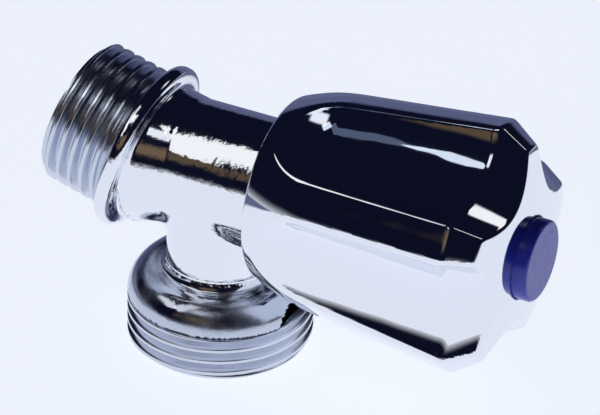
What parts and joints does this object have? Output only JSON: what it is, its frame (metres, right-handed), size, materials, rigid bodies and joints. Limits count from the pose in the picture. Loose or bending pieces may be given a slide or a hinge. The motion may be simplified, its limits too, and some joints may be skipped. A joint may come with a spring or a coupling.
{
  "type": "water tap",
  "caption": "In-line appliance water tap with a threaded inlet, an angled barrel, a threaded hose outlet pointing down and a fluted chrome knob with a blue index button.",
  "frame": {"origin": "centre of the outlet's open end, on which the tap stands as pictured", "axes": "+Z from the outlet's open end up its axis to the barrel; +X along the barrel towards the knob. Fitted to a wall with the inlet level, the tap turns 15 degrees about Y, knob up and outlet away from the wall"},
  "size_m": [0.0736, 0.0344, 0.0445],
  "materials": {
    "chrome": "plated over cast brass, slightly uneven",
    "knob_chrome": "mirror plated",
    "brass": "machined",
    "steel": "machined",
    "rubber": "moulded",
    "white_plastic": "moulded",
    "blue_plastic": "moulded, glossy"
  },
  "bodies": {
    "body": {"valve_body": "chrome", "headwork_body": "brass", "bonnet_seal": "rubber", "thrust_washer": "white_plastic"},
    "turning": {"spindle": "brass", "spindle_o_ring_lower": "rubber", "spindle_o_ring_upper": "rubber", "spindle_circlip": "steel", "knob_shell": "knob_chrome", "knob_hub": "brass", "knob_screw": "steel", "screw_washer": "steel", "index_button": "blue_plastic"},
    "plunger": {"valve_plunger": "brass", "plunger_o_ring": "rubber", "seat_washer": "rubber", "washer_plate": "steel", "washer_nut": "steel"}
  },
  "joints": [
    {"name": "knob_turn", "type": "hinge", "parent": "body", "child": "turning", "pos_m": [0.02, 0, 0.0267], "axis": [1, 0, 0], "range_deg": [0, 900]},
    {"name": "plunger_lift", "type": "slide", "parent": "body", "child": "plunger", "axis": [1, 0, 0], "range_m": [0, 0.005]}
  ],
  "couplings": [
    {"joint": "plunger_lift", "follows": "knob_turn", "m_per_rad": 0.0003183}
  ]
}
